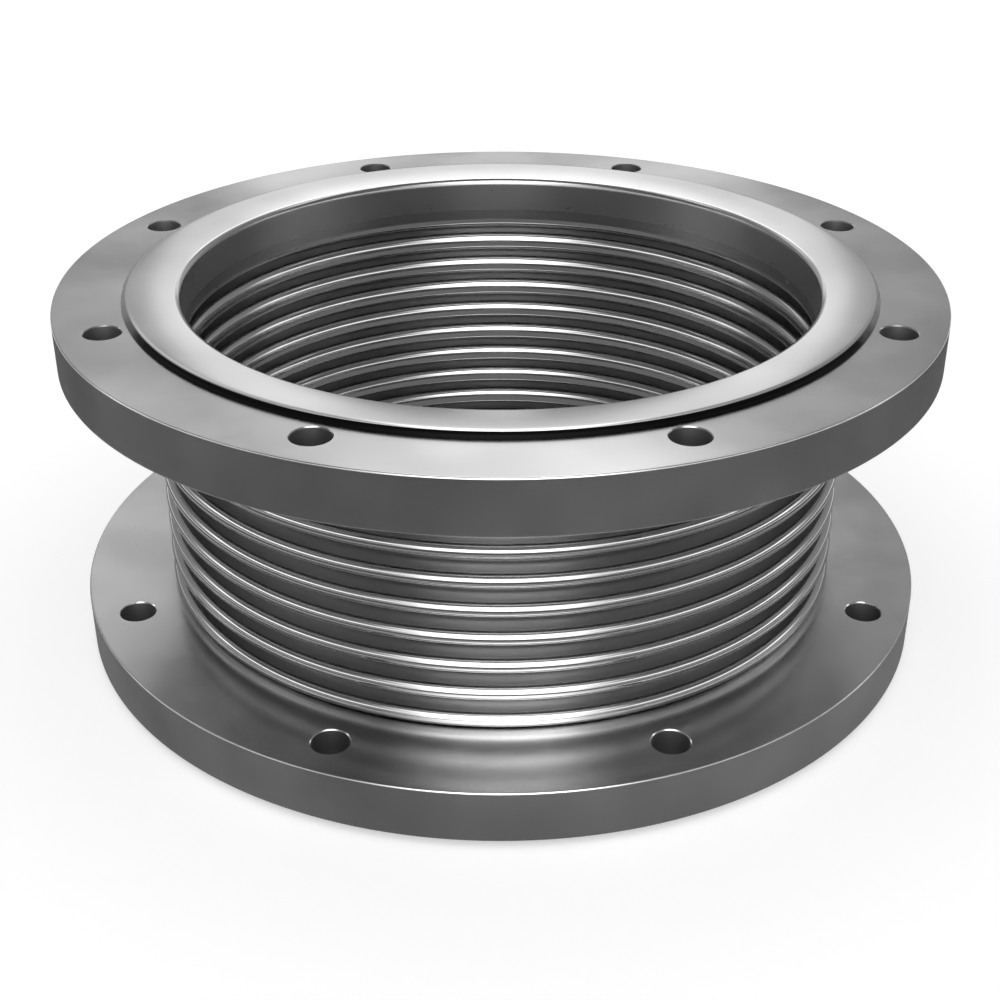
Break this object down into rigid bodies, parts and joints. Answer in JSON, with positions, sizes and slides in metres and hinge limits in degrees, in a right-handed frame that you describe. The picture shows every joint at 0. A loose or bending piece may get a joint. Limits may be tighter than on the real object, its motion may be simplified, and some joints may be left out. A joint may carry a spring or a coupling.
{
  "type": "exhaust bellows",
  "caption": "Corrugated round metal bellows with flared collar ends and loose ring flanges, to join two exhaust pipes and take up their movement.",
  "frame": {"origin": "centre of the lower lip's sealing face, on the passage's axis, where the part stands", "axes": "+Z along the passage's axis, from the lower lip to the upper one; +X and +Y each midway between two bolt holes"},
  "size_m": [0.3, 0.3, 0.1257],
  "materials": {
    "flange_steel": "fine turned satin",
    "collar_steel": "smooth satin",
    "bellows_steel": "smooth, bright, as formed"
  },
  "bodies": {
    "lower_end": {"lower_collar": "collar_steel", "bellows": "bellows_steel"},
    "lower_ring": {"lower_flange": "flange_steel"},
    "upper_end": {"upper_collar": "collar_steel"},
    "upper_ring": {"upper_flange": "flange_steel"}
  },
  "joints": [
    {"name": "bellows_travel", "type": "slide", "parent": "lower_end", "child": "upper_end", "axis": [0, 0, 1], "range_m": [-0.015, 0.01], "stiffness_N_per_m": 100000, "springref_m": 0.00046, "deforming": ["bellows"]},
    {"name": "upper_flange_swivel", "type": "hinge", "parent": "upper_end", "child": "upper_ring", "pos_m": [0, 0, 0.11465], "axis": [0, 0, 1], "continuous": true},
    {"name": "lower_flange_swivel", "type": "hinge", "parent": "lower_end", "child": "lower_ring", "pos_m": [0, 0, 0.011], "axis": [0, 0, 1], "continuous": true}
  ]
}
